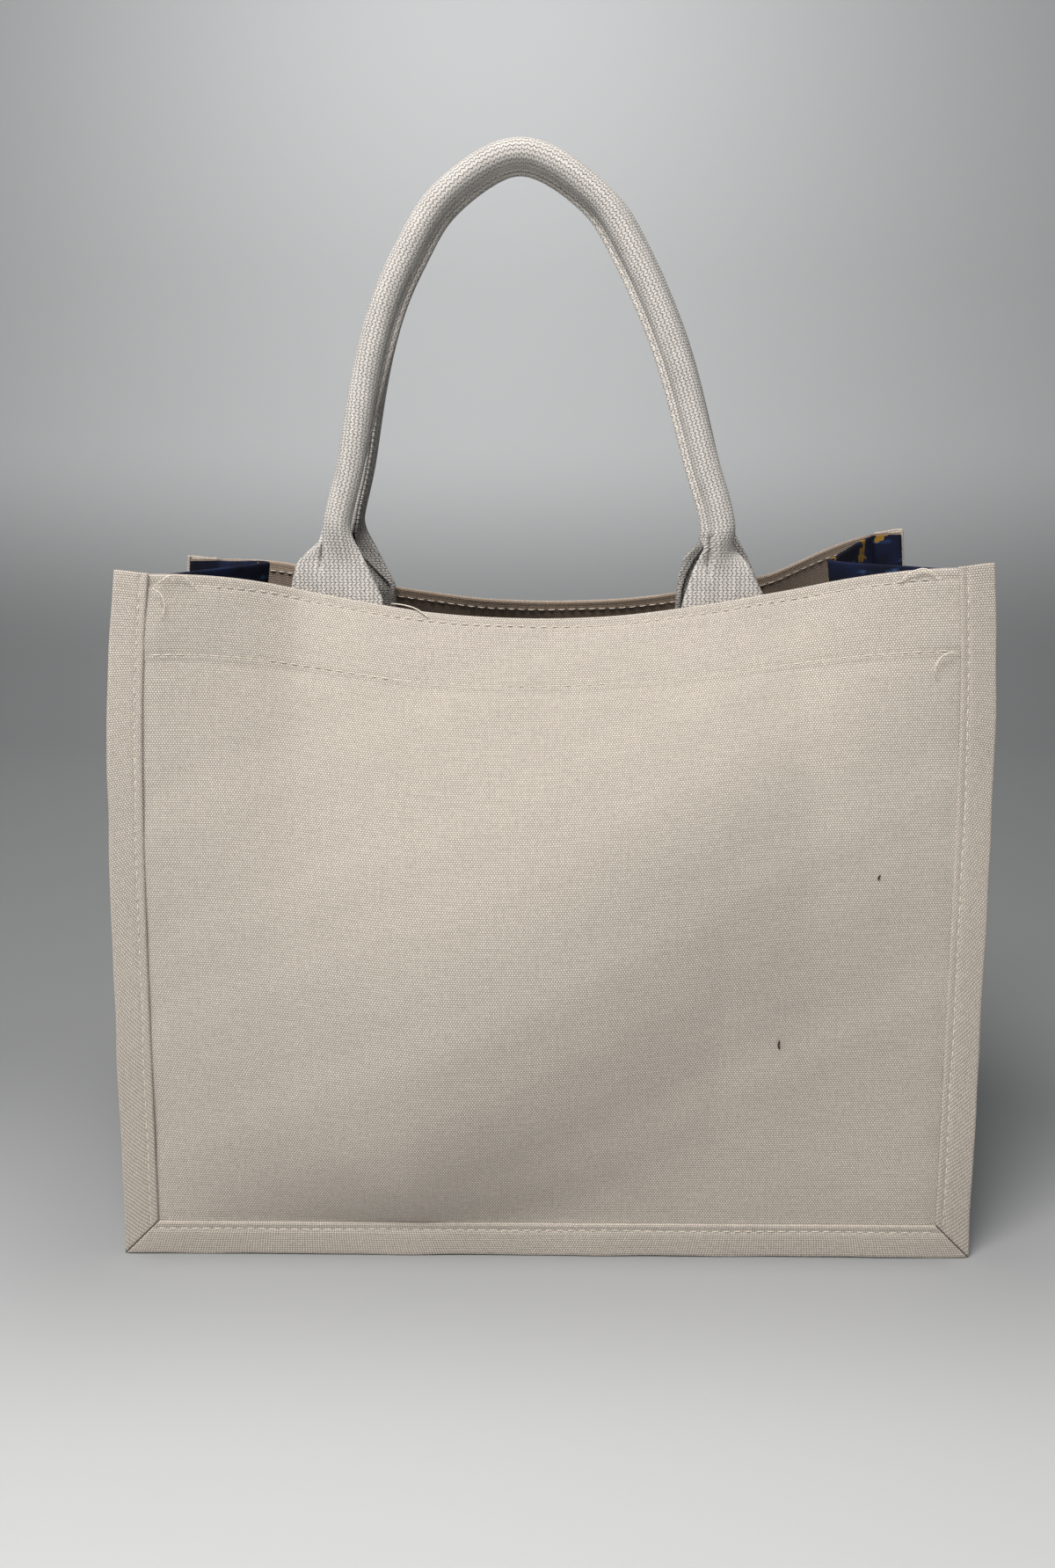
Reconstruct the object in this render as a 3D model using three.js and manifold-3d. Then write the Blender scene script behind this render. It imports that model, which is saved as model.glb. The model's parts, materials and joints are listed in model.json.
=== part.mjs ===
// A gusseted canvas shopping tote: two stiff canvas faces framed by turned edge strips, a printed gusset
// that runs down both sides and under the bag, and two padded webbing handles sewn inside the top hems.
//
// Millimetres, +Z up. The origin is the middle of the footprint on the floor. The front face looks towards -Y
// and X runs along the width. The bag stands on the lower edges of its two bottom strips, its mouth drawn in
// at the middle, and its side gussets folded inwards in a V towards the top.
import * as THREE from "three";
import { mergeVertices } from "three/addons/utils/BufferGeometryUtils.js";
import Module from "manifold-3d";

// Driving dimensions.
const WIDTH = 420;
const CLOTH_HEIGHT = 335; // measured along the cloth, from the floor to the top edge
const DEPTH = 190;
const CLOTH = 1.2; // one ply of canvas
const WEBBING = 1.6; // one ply of handle webbing
const GAP = 0.3; // air between neighbouring plies
const STRIP = 17; // width of the edge strips that frame each face
const HEM = 38; // depth of the turned top hem
const HEM_PLIES = 2.5; // thickness where the hem is double

// How far each face leans inwards at the top, and where along its width.
const LEAN = { edge: 23, middle: 55 };
const FLAT_TO = 124.7; // the hem is straight out to this distance from the centre line, past the handle feet
const BELLY = 24; // outward swell of a face between its seams
const SAG = 9; // extra drop of the top edge at the middle, taken up by small creases
const NARROWING = { steady: 0.012, top: 0.03 };
const GUSSET_FOLD = 42; // how far the gusset's crease is pushed in at the top

// Handles.
const WEB_WIDTH = 42;
const TUBE_RADIUS = 6.7;
const FIN_TIP = 10.2; // from the tube's centre to the tip of the sewn edges
const FIN_HALF = 1.6;
const SLEEVE_WALL = 1.5;
const CORE_RADIUS = 4.9;
const FOOT_FROM = 3.5; // the feet start this far above the hinge line
const FOOT_TO = 34; // and close into a tube here
const HANDLES = {
  front: { middle: -9.2, spread: 1, turned: 0 },
  back: { middle: -6.2, spread: 1.05, turned: Math.PI },
};
const PIVOT = { y: 38.5, z: 322.5 }; // the hinge line runs along the hem's top edge, parallel to X
const HANDLE_LEAN = THREE.MathUtils.degToRad(8.28);
const HANDLE_SET_BACK = 2; // from the hinge line to the middle of the webbing
// Half of a padded handle's centre line, as (across, up) from the middle of the hinge line.
const HALF_ARCH = [
  [91, FOOT_TO], [91, 40], [85.3, 60], [80.4, 81], [75.4, 102],
  [69.5, 122], [62.2, 141], [52.8, 160], [37.2, 184],
];
const ARCH_TOP = 204.5;
const ARCH_SWAY = { by: 4.3, from: 48, to: 141 }; // the top of both arches hangs this far to the left

// Colours, as the finish of each material.
const canvas = new THREE.MeshStandardMaterial({ color: 0xc9bba9, roughness: 0.9, metalness: 0 });
const print = new THREE.MeshStandardMaterial({ color: 0x1c2348, roughness: 0.85, metalness: 0 });
const webbing = new THREE.MeshStandardMaterial({ color: 0xd6cec4, roughness: 0.9, metalness: 0 });
const filler = new THREE.MeshStandardMaterial({ color: 0xe6e2d8, roughness: 0.95, metalness: 0 });
const thread = new THREE.MeshStandardMaterial({ color: 0xd8ccba, roughness: 0.7, metalness: 0 });

const wasm = await Module();
wasm.setup();

const clamp01 = (v) => THREE.MathUtils.clamp(v, 0, 1);
const between = (a, b, u) => a + (b - a) * u;
const steps = (a, b, n) => Array.from({ length: n + 1 }, (_, i) => between(a, b, i / n));
const SEAM = WIDTH / 2 - STRIP; // from the centre line to the strip's inner edge
const RISE = CLOTH_HEIGHT - STRIP; // cloth above the bottom strip

// ---- The shape of a face ----

// How far up the face a height is: 0 at the top of the bottom strip, 1 at the top edge.
const upShare = (up) => clamp01((up - STRIP) / RISE);

// Width lost to the curve of the face: a little all the way up, and more near the mouth.
const narrowed = (up) => 1 - NARROWING.steady * upShare(up) - NARROWING.top * upShare(up) ** 6;

// The lean of the top edge at a distance across: least at the stiff side strips, and even between the
// outer sides of the handle feet.
function leanAtTop(across) {
  const out = clamp01((Math.abs(across) - FLAT_TO) / (SEAM - FLAT_TO));
  return LEAN.middle - (LEAN.middle - LEAN.edge) * out * (1.3 - 0.3 * out);
}

// How far in or out of the upright a face is: it leans in as a power of its height, straight at the strips
// and curved at the middle, and swells out between its seams.
function faceDepth(across, share) {
  const inwards = 1 - clamp01(Math.abs(across) / SEAM) ** 2;
  const swell = BELLY * inwards ** 1.5 * Math.sin(Math.PI * share) ** 1.3;
  return -DEPTH / 2 + leanAtTop(across) * share ** (1 + 1.1 * inwards) - swell;
}

// A point of the front face's outer surface, at a distance across and up its cloth. The cloth keeps its
// length, so it loses height wherever it leans.
function facePoint(across, up) {
  const share = upShare(up);
  const inwards = 1 - clamp01(Math.abs(across) / SEAM) ** 2;
  const pieces = 24;
  const run = (share * RISE) / pieces;
  const z = steps(0, share, pieces).slice(1).reduce((height, s, i) => {
    const sideways = faceDepth(across, s) - faceDepth(across, (i * share) / pieces);
    return height + Math.sqrt(Math.max(run * run - sideways * sideways, 0));
  }, Math.min(up, STRIP));
  const sag = SAG * inwards ** 2 * share ** 3;
  return new THREE.Vector3(across * narrowed(up), faceDepth(across, share), z - sag);
}

// The front face's outward normal, from two short steps along the cloth.
function faceNormal(across, up) {
  const h = 0.5;
  const low = Math.min(up, CLOTH_HEIGHT - h);
  const along = facePoint(across + h, low).sub(facePoint(across - h, low));
  const rise = facePoint(across, low + h).sub(facePoint(across, low));
  return along.cross(rise).normalize();
}

// ---- Solids ----

// A closed solid from rings of points, each ring the same length and running the same way round.
function loft(rings, flip = false) {
  const n = rings[0].length;
  const positions = [];
  const face = (a, b, c) => (flip ? positions.push(...a, ...c, ...b) : positions.push(...a, ...b, ...c));
  for (let i = 0; i + 1 < rings.length; i++) {
    for (let k = 0; k < n; k++) {
      const m = (k + 1) % n;
      face(rings[i][k], rings[i][m], rings[i + 1][m]);
      face(rings[i][k], rings[i + 1][m], rings[i + 1][k]);
    }
  }
  const last = rings[rings.length - 1];
  capStrip(rings[0], (a, b, c) => face(a, c, b));
  capStrip(last, face);
  return new THREE.BufferGeometry().setAttribute("position", new THREE.Float32BufferAttribute(positions, 3));
}

// Closes a ring whose first half runs out and whose second half runs back, as a strip of quads.
function capStrip(ring, face) {
  const n = ring.length;
  for (let k = 0; k < n / 2 - 1; k++) {
    const a = ring[k];
    const b = ring[k + 1];
    const c = ring[n - 2 - k];
    const d = ring[n - 1 - k];
    face(a, b, c);
    face(a, c, d);
  }
}

// Every ply shares these heights and distances across, so that plies which follow one another never touch.
const HEM_START = CLOTH_HEIGHT - HEM;
const HEIGHTS = [STRIP, 50, 85, 120, 155, 190, 225, 260, 280, HEM_START - 0.4, HEM_START, 316];
const COLUMNS = steps(-SEAM + 6, SEAM - 6, 24);
const inside = (list, low, high) => [low, ...list.filter((v) => v > low + 0.2 && v < high - 0.2), high];

// A ply of cloth that follows the front face between two offsets from its outer surface, positive outwards.
// Its lower edge may change across the cloth, and so may its inner offset.
function facePly({ acrossList, from = () => 0, to = () => CLOTH_HEIGHT, under, over }) {
  const lowest = Math.min(...acrossList.map(from));
  const highest = Math.max(...acrossList.map(to));
  const levels = inside(HEIGHTS, lowest, highest);
  const rings = acrossList.map((across) => {
    const last = levels.length - 1;
    const ups = levels.map((v, i) =>
      THREE.MathUtils.clamp(v, from(across) + 0.1 * i, to(across) - 0.1 * (last - i)),
    );
    const at = (up, offset) =>
      facePoint(across, up).addScaledVector(faceNormal(across, up), offset).toArray();
    return [
      ...ups.map((up) => at(up, under(across, up))),
      ...ups.map((up) => at(up, over)).reverse(),
    ];
  });
  return loft(rings);
}

// One face of the bag: a single ply, doubled at the top hem between the side strips.
function facePanel() {
  const edge = SEAM - 6;
  return facePly({
    acrossList: [-WIDTH / 2, -SEAM, -edge - 0.2, ...COLUMNS, edge + 0.2, SEAM, WIDTH / 2],
    under: (a, up) => (up >= HEM_START && Math.abs(a) <= edge ? -HEM_PLIES : -CLOTH),
    over: 0,
  });
}

// The strips that frame a face stand proud of it and meet in mitres at the bottom corners.
const STRIP_OVER = GAP + CLOTH;
function sideStrip(side) {
  const half = WIDTH / 2;
  const list = side < 0 ? [-half, -SEAM - STRIP / 2, -SEAM] : [SEAM, SEAM + STRIP / 2, half];
  return facePly({
    acrossList: list,
    from: (a) => half - Math.abs(a) + 0.5,
    under: () => GAP,
    over: STRIP_OVER,
  });
}

function bottomStrip() {
  const half = WIDTH / 2;
  return facePly({
    acrossList: [-half + 0.3, ...steps(-SEAM, SEAM, 2), half - 0.3],
    to: (a) => Math.min(STRIP, half - Math.abs(a)),
    under: () => GAP,
    over: STRIP_OVER,
  });
}

// A webbing end, sewn flat on the inside of the top hem.
function handleEnd(middle) {
  return facePly({
    acrossList: inside(COLUMNS, middle - WEB_WIDTH / 2, middle + WEB_WIDTH / 2),
    from: () => HEM_START + 3,
    to: () => CLOTH_HEIGHT - 0.5,
    under: () => -HEM_PLIES - 2 * GAP - WEBBING,
    over: -HEM_PLIES - 2 * GAP,
  });
}

// A row of stitching lies just proud of the cloth that it holds.
const THREAD_WIDE = 0.8;
const THREAD_HIGH = 0.5;
const UPPER_ROW = CLOTH_HEIGHT - 3.5;
const LOWER_ROW = HEM_START + 2;
const STRIP_ROW = 3.5; // from the strip's inner edge to its row of stitching

function hemRow(up) {
  return facePly({
    acrossList: COLUMNS,
    from: () => up - THREAD_WIDE / 2,
    to: () => up + THREAD_WIDE / 2,
    under: () => GAP,
    over: GAP + THREAD_HIGH,
  });
}

// The row that holds the strips runs down one side, along the bottom and up the other.
function stripRow() {
  const under = STRIP_OVER + GAP;
  const over = under + THREAD_HIGH;
  const inset = SEAM + STRIP_ROW;
  const low = STRIP - STRIP_ROW;
  const side = (x) =>
    facePly({
      acrossList: [x - THREAD_WIDE / 2, x + THREAD_WIDE / 2],
      from: () => low - THREAD_WIDE / 2,
      to: () => CLOTH_HEIGHT - 1,
      under: () => under,
      over,
    });
  const bottom = facePly({
    acrossList: steps(-inset, inset, 2),
    from: () => low - THREAD_WIDE / 2,
    to: () => low + THREAD_WIDE / 2,
    under: () => under,
    over,
  });
  return joined([side(-inset), bottom, side(inset)]);
}

// ---- The gusset ----

const PLY_MIDDLE = CLOTH + GAP + CLOTH / 2; // from a face's outer surface to the middle of the ply behind it
const sideLean = (up) => LEAN.edge * upShare(up);

// The gusset's line at one height, seen from above: the seam allowance behind the front strip, the web with
// its crease pushed in, and the allowance behind the back strip. The crease is round low down and sharp at the
// top.
function gussetLine(up, webShares) {
  const share = upShare(up);
  const k = narrowed(up);
  const y = DEPTH / 2 - sideLean(up) - PLY_MIDDLE;
  const fold = GUSSET_FOLD * Math.sin((Math.PI / 2) * share) ** 0.9;
  const sharpness = between(2, 1.15, share);
  const web = webShares.map((v) => [-SEAM * k + fold * (1 - Math.abs(v) ** sharpness), v * y]);
  return { web, allowance: (WIDTH / 2) * k - 0.4, y };
}

// Points moved sideways off an open line, mitred at its corners; positive is to its left.
function besideLine(line, offset) {
  return line.map((p, i) => {
    const before = line[Math.max(i - 1, 0)];
    const after = line[Math.min(i + 1, line.length - 1)];
    const a = new THREE.Vector2(p[0] - before[0], p[1] - before[1]).normalize();
    const b = new THREE.Vector2(after[0] - p[0], after[1] - p[1]).normalize();
    const dir = a.clone().add(b).normalize();
    const stretch = i === 0 || i === line.length - 1 ? 1 : 1 / Math.max(dir.dot(b), 0.5);
    return [p[0] - dir.y * offset * stretch, p[1] + dir.x * offset * stretch];
  });
}

function gussetPly(levels, webShares, withAllowance, under, over) {
  const rings = levels.map((up) => {
    const { web, allowance, y } = gussetLine(up, webShares);
    const line = withAllowance ? [[-allowance, -y], ...web, [-allowance, y]] : web;
    const z = up - (LEAN.edge ** 2 / (2 * RISE)) * upShare(up);
    return [
      ...besideLine(line, under).map(([x, yy]) => [x, yy, z]),
      ...besideLine(line, over).map(([x, yy]) => [x, yy, z]).reverse(),
    ];
  });
  return loft(rings);
}

const GUSSET_LOW = STRIP + GAP;
const leftGusset = () =>
  gussetPly([GUSSET_LOW, ...steps(34, CLOTH_HEIGHT - 0.5, 10)], steps(-1, 1, 8), true, -CLOTH / 2, CLOTH / 2);
const leftGussetRow = () =>
  gussetPly(
    [LOWER_ROW - THREAD_WIDE / 2, LOWER_ROW + THREAD_WIDE / 2],
    [-0.96, ...steps(-0.75, 0.75, 6), 0.96],
    false,
    CLOTH / 2 + GAP,
    CLOTH / 2 + GAP + THREAD_HIGH,
  );

// The base is the same strip of cloth, with its two allowances turned down behind the bottom strips.
function basePanel() {
  const y = DEPTH / 2 - CLOTH - GAP;
  const outline = new THREE.Shape([
    new THREE.Vector2(-y, 0),
    new THREE.Vector2(-y + CLOTH, 0),
    new THREE.Vector2(-y + CLOTH, STRIP - CLOTH),
    new THREE.Vector2(y - CLOTH, STRIP - CLOTH),
    new THREE.Vector2(y - CLOTH, 0),
    new THREE.Vector2(y, 0),
    new THREE.Vector2(y, STRIP),
    new THREE.Vector2(-y, STRIP),
  ]);
  const length = 2 * (SEAM + CLOTH / 2);
  const geometry = new THREE.ExtrudeGeometry(outline, { depth: length, bevelEnabled: false });
  // The outline's x becomes Y, its y becomes Z and its depth becomes X.
  const turn = new THREE.Matrix4().makeBasis(
    new THREE.Vector3(0, 1, 0),
    new THREE.Vector3(0, 0, 1),
    new THREE.Vector3(1, 0, 0),
  );
  return geometry.applyMatrix4(turn).translate(-length / 2, 0, 0);
}

// ---- Handles ----

// The whole centre line of one handle, from its left foot over the top to its right foot. The back handle is
// built facing the front and then turned, so its line is mirrored here to sway the same way as the front's.
function handleCurve({ spread, turned }) {
  const mirror = turned ? -1 : 1;
  const { by, from, to } = ARCH_SWAY;
  const sway = (h) => -mirror * by * clamp01((h - from) / (to - from));
  const half = (side) => HALF_ARCH.map(([a, h]) => [side * spread * a + sway(h), h]);
  const line = [...half(-1), [sway(ARCH_TOP), ARCH_TOP], ...half(1).reverse()];
  const points = line.map(([x, h]) => new THREE.Vector3(x, HANDLE_SET_BACK, h));
  return new THREE.CatmullRomCurve3(points, false, "centripetal");
}

// A section carried along the handle: its x points away from the bag's middle and its y to the arch's inside.
const along = (handle, shape, segments) =>
  new THREE.ExtrudeGeometry(shape, { steps: 36, curveSegments: segments, extrudePath: handleCurve(handle) });

// The webbing is wrapped round the filler and its two edges are sewn together as a fin.
function sleeve(handle) {
  const root = Math.asin(FIN_HALF / TUBE_RADIUS);
  const section = new THREE.Shape();
  section.moveTo(FIN_HALF, FIN_TIP);
  section.lineTo(-FIN_HALF, FIN_TIP);
  section.absarc(0, 0, TUBE_RADIUS, Math.PI / 2 + root, Math.PI * 2.5 - root, false);
  const bore = new THREE.Path();
  bore.absarc(0, 0, TUBE_RADIUS - SLEEVE_WALL, 0, Math.PI * 2, true);
  section.holes.push(bore);
  return along(handle, section, 7);
}

function core(handle) {
  const section = new THREE.Shape();
  section.absarc(0, 0, CORE_RADIUS, 0, Math.PI * 2, false);
  return along(handle, section, 6);
}

// The row of stitching that closes the sleeve lies on the fin, at its root.
function sleeveRow(handle) {
  const near = FIN_HALF + GAP;
  const section = new THREE.Shape([
    new THREE.Vector2(near, 8.4),
    new THREE.Vector2(near + THREAD_HIGH, 8.4),
    new THREE.Vector2(near + THREAD_HIGH, 8.4 + THREAD_WIDE),
    new THREE.Vector2(near, 8.4 + THREAD_WIDE),
  ]);
  return along(handle, section, 1);
}

// A foot: the webbing opens from the tube to its flat width. Each ring is a flattened oval.
function foot({ spread }, side) {
  const endX = side * spread * HALF_ARCH[0][0];
  const count = 16;
  const rings = steps(0, 1, 6).map((u) => {
    const opened = 1 - THREE.MathUtils.smoothstep(u, 0, 1);
    const halfWide = between((TUBE_RADIUS + FIN_TIP) / 2, WEB_WIDTH / 2, opened);
    const halfThick = between(TUBE_RADIUS - 0.6, 1.1, opened ** 0.5);
    const x = endX - side * between((FIN_TIP - TUBE_RADIUS) / 2, 0, opened);
    const h = between(FOOT_FROM, FOOT_TO - 2 * GAP, u);
    return Array.from({ length: count }, (_, k) => {
      const a = (Math.PI * 2 * (k + 0.5)) / count;
      return [x + halfWide * Math.cos(a), HANDLE_SET_BACK + halfThick * Math.sin(a), h];
    });
  });
  return loft(rings);
}

// ---- Assembly ----

// Solids joined into one, and given back as a geometry.
function joined(geometries) {
  const solids = geometries.map((geometry) => {
    const bare = geometry.index ? geometry.toNonIndexed() : geometry.clone();
    bare.deleteAttribute("normal");
    bare.deleteAttribute("uv");
    const merged = mergeVertices(bare, 1e-4);
    const vertProperties = new Float32Array(merged.attributes.position.array);
    return new wasm.Manifold(
      new wasm.Mesh({ numProp: 3, vertProperties, triVerts: new Uint32Array(merged.index.array) }),
    );
  });
  const mesh = solids.reduce((a, b) => a.add(b)).getMesh();
  return new THREE.BufferGeometry()
    .setAttribute("position", new THREE.BufferAttribute(new Float32Array(mesh.vertProperties), 3))
    .setIndex(new THREE.BufferAttribute(new Uint32Array(mesh.triVerts), 1));
}

function named(name, geometry, material) {
  const mesh = new THREE.Mesh(geometry, material);
  mesh.name = name;
  return mesh;
}

// A face with everything sewn to it. The back is the front turned half round, so its left and right swap.
function face(which) {
  const { spread, turned } = HANDLES[which];
  const group = new THREE.Group();
  const [left, right] = turned ? ["right", "left"] : ["left", "right"];
  const ends = spread * HALF_ARCH[0][0];
  const middle = turned ? -HANDLES[which].middle : HANDLES[which].middle;
  group.add(
    named(`${which}_panel`, facePanel(), canvas),
    named(`${which}_${left}_edge_strip`, sideStrip(-1), canvas),
    named(`${which}_${right}_edge_strip`, sideStrip(1), canvas),
    named(`${which}_bottom_edge_strip`, bottomStrip(), canvas),
    named(`${which}_edge_strip_stitching`, stripRow(), thread),
    named(`${which}_hem_upper_stitching`, hemRow(UPPER_ROW), thread),
    named(`${which}_hem_lower_stitching`, hemRow(LOWER_ROW), thread),
    named(`${which}_handle_${left}_end`, handleEnd(middle - ends), webbing),
    named(`${which}_handle_${right}_end`, handleEnd(middle + ends), webbing),
  );
  group.rotation.z = turned;
  return group;
}

function handle(which) {
  const { middle, turned } = HANDLES[which];
  const [left, right] = turned ? ["right", "left"] : ["left", "right"];
  const group = new THREE.Group();
  group.add(
    named(`${which}_handle_sleeve`, sleeve(HANDLES[which]), webbing),
    named(`${which}_handle_filler`, core(HANDLES[which]), filler),
    named(`${which}_handle_${left}_foot`, foot(HANDLES[which], -1), webbing),
    named(`${which}_handle_${right}_foot`, foot(HANDLES[which], 1), webbing),
    named(`${which}_handle_stitching`, sleeveRow(HANDLES[which]), thread),
  );
  group.rotation.x = -HANDLE_LEAN;
  group.position.set(turned ? -middle : middle, -PIVOT.y, PIVOT.z);
  const side = new THREE.Group();
  side.add(group);
  side.rotation.z = turned;
  return side;
}

function gusset(name, turned) {
  const group = new THREE.Group();
  group.add(
    named(`${name}_gusset`, leftGusset(), print),
    named(`${name}_gusset_hem_stitching`, leftGussetRow(), thread),
  );
  group.rotation.z = turned;
  return group;
}

const tote = new THREE.Group();
tote.add(
  face("front"),
  face("back"),
  gusset("left", 0),
  gusset("right", Math.PI),
  named("base_panel", basePanel(), print),
  handle("front"),
  handle("back"),
);
export default tote;
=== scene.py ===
"""A canvas shopping tote with a printed folding gusset and two padded webbing handles.

Every piece is a surface worked out from the bag's own pattern: a face is a table of points over the cloth
(across, up), the gusset and the base are tables of the same kind, and a handle is a section carried along
a path. All lengths are in metres, and the front face looks towards -Y.
"""

import json
import math

import bpy
import numpy as np
from mathutils import Matrix, Vector


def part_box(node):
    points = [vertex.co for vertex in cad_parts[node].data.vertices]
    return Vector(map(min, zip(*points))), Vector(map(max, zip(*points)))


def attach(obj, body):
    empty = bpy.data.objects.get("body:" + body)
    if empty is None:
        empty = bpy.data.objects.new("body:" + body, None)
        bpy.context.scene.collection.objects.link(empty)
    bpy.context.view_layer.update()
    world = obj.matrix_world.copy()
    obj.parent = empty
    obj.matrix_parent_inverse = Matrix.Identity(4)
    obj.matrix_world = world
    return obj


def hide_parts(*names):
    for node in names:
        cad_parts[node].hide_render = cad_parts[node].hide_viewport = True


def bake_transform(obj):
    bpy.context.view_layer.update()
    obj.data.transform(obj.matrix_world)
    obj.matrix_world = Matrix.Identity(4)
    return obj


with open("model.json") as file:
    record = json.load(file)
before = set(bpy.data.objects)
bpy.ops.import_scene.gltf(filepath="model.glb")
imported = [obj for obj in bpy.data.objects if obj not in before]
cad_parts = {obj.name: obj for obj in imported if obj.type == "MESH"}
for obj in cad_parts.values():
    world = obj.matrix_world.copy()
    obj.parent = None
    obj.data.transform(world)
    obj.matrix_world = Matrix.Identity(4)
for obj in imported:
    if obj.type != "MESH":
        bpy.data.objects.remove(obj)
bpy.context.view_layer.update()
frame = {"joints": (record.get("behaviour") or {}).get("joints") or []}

MM = 0.001

# ---- Driving dimensions ----

panel_low, panel_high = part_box("front_panel")
WIDTH = panel_high[0] - panel_low[0]
BASE_Y = -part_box("front_bottom_edge_strip")[1][1] - 0.3 * MM  # half the depth at the floor
HEIGHT = 335 * MM  # of a face, along its cloth
STRIP = 17 * MM  # width of the edge strips
SEAM = WIDTH / 2 - STRIP  # from the centre line to a strip's inner edge
RISE = HEIGHT - STRIP
HEM = 38 * MM
PLY = 1.2 * MM
HEM_THICK = 2.5 * MM
STITCH = 5.5 * MM  # from one stitch to the next
UPPER_ROW = HEIGHT - 3.6 * MM
LOWER_ROW = HEIGHT - HEM + 2 * MM

LEAN_EDGE = 23 * MM
LEAN_MIDDLE = 55 * MM
FLAT_TO = 124.7 * MM
BELLY = 24 * MM
SAG = 9 * MM


def smooth(t, low=0.0, high=1.0):
    """0 below low, 1 above high, and the cubic 3t^2 - 2t^3 between them."""
    t = np.clip((np.asarray(t, float) - low) / (high - low), 0, 1)
    return t * t * (3 - 2 * t)


def bell(t, centre, width):
    """1 at the centre, falling off as exp(-(distance / width)^2)."""
    return np.exp(-(((np.asarray(t, float) - centre) / width) ** 2))


def drift(t, seed, wavelength):
    """A slow wander between about -1 and 1: three sines of unrelated length, with phases from the seed."""
    phase = np.random.default_rng(seed).uniform(0, 2 * np.pi, 3)
    turns = 2 * np.pi * np.asarray(t, float) / wavelength
    first, second = np.sin(turns + phase[0]), 0.6 * np.sin(1.73 * turns + phase[1])
    return (first + second + 0.4 * np.sin(2.71 * turns + phase[2])) / 2


def unit(vectors):
    """The vectors along the last axis, made one long."""
    return vectors / np.linalg.norm(vectors, axis=-1, keepdims=True)


def spread(*parts):
    """The parts broadcast against each other and stacked as coordinates."""
    return np.stack(np.broadcast_arrays(*parts), axis=-1)


# ---- Cloth as a table of points ----


class Cloth:
    """A smooth surface held as points over two even scales, read between its points, with its normals."""

    def __init__(self, first, second, points):
        self.first, self.second, self.points = first, second, points
        d_first = np.gradient(points, axis=0)
        d_second = np.gradient(points, axis=1)
        normals = np.cross(d_first, d_second)
        self.normals = unit(normals)
        self.up = unit(d_second)

    def _read(self, table, i, j):
        i0 = np.clip(np.floor(i).astype(int), 0, table.shape[0] - 2)
        j0 = np.clip(np.floor(j).astype(int), 0, table.shape[1] - 2)
        fi = np.clip(i - i0, 0, 1)[..., None]
        fj = np.clip(j - j0, 0, 1)[..., None]
        low = table[i0, j0] * (1 - fi) + table[i0 + 1, j0] * fi
        high = table[i0, j0 + 1] * (1 - fi) + table[i0 + 1, j0 + 1] * fi
        return low * (1 - fj) + high * fj

    def at(self, first, second, off=0.0):
        """The point at (first, second), moved off along the normal. Past the last second value the cloth
        carries straight on."""
        first, second, off = np.broadcast_arrays(first, second, off)
        i = (first - self.first[0]) / (self.first[1] - self.first[0])
        j = (second - self.second[0]) / (self.second[1] - self.second[0])
        over = np.maximum(second - self.second[-1], 0) - np.maximum(self.second[0] - second, 0)
        point = self._read(self.points, i, j) + self._read(self.up, i, j) * over[..., None]
        return point + self._read(self.normals, i, j) * off[..., None]


def face_cloth():
    """The front face's outer surface over (across, up). It leans in as a power of its height, swells between
    its seams, toes out under its bottom strip, and loses height where it leans, because the cloth keeps its
    length. The swell is highest on a line that climbs from left to right."""
    across = np.linspace(-WIDTH / 2 - 2 * MM, WIDTH / 2 + 2 * MM, 849)[:, None]
    up = np.linspace(0, HEIGHT, 671)[None, :]
    share = np.clip((up - STRIP) / RISE, 0, 1)
    inward = 1 - np.clip(np.abs(across) / SEAM, 0, 1) ** 2
    out = np.clip((np.abs(across) - FLAT_TO) / (SEAM - FLAT_TO), -3, 1)
    out = (out + np.sqrt(out**2 + 0.01)) / 2
    lean = LEAN_MIDDLE - (LEAN_MIDDLE - LEAN_EDGE) * np.clip(out * (1.3 - 0.3 * out), 0, 1)
    ridge = np.clip(0.44 + 0.8 * across / WIDTH, 0.32, 0.6)
    swell = BELLY * inward**1.3 * np.sin(np.pi * share ** (math.log(0.5) / np.log(ridge))) ** 1.5
    toe = 2 * MM * np.clip(1 - up / STRIP, 0, 1)
    y = -BASE_Y - toe + lean * share ** (1 + 1.1 * inward) - swell
    run = np.diff(up, axis=1)
    climb = np.sqrt(np.maximum(run**2 - np.diff(y, axis=1) ** 2, 0))
    z = np.concatenate([np.zeros_like(y[:, :1]), np.cumsum(climb, axis=1)], axis=1)
    z = z - SAG * inward**2 * share**3
    x = across * (1 - 0.012 * share - 0.03 * share**6)
    return Cloth(across[:, 0], up[0], np.stack([x, y, z], axis=-1))


FACE = face_cloth()


def face_relief(across, up):
    """How far a face's cloth stands off its smooth surface: slow unevenness, the double hem, the dips along
    its two rows of stitching, and the dip beside the strips."""
    uneven = 0.5 * drift(across + 0.4 * up, 3, 0.12) + 0.45 * drift(up - 0.5 * across, 4, 0.09)
    hem = 0.55 * smooth(up, HEIGHT - HEM - 1.5 * MM, HEIGHT - HEM + 1.5 * MM)
    beat = 0.65 - 0.35 * np.cos(2 * np.pi * across / STITCH)
    rows = -0.4 * beat * (bell(up, UPPER_ROW, 1.3 * MM) + bell(up, LOWER_ROW, 1.3 * MM))
    pull = -0.35 * bell(up, LOWER_ROW, 7 * MM)
    beside = -0.7 * bell(np.abs(across), SEAM, 4 * MM)
    return (uneven * smooth(up, STRIP, 60 * MM) + hem + rows + pull + beside) * MM


# ---- Meshes ----

material_of = {}


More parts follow.
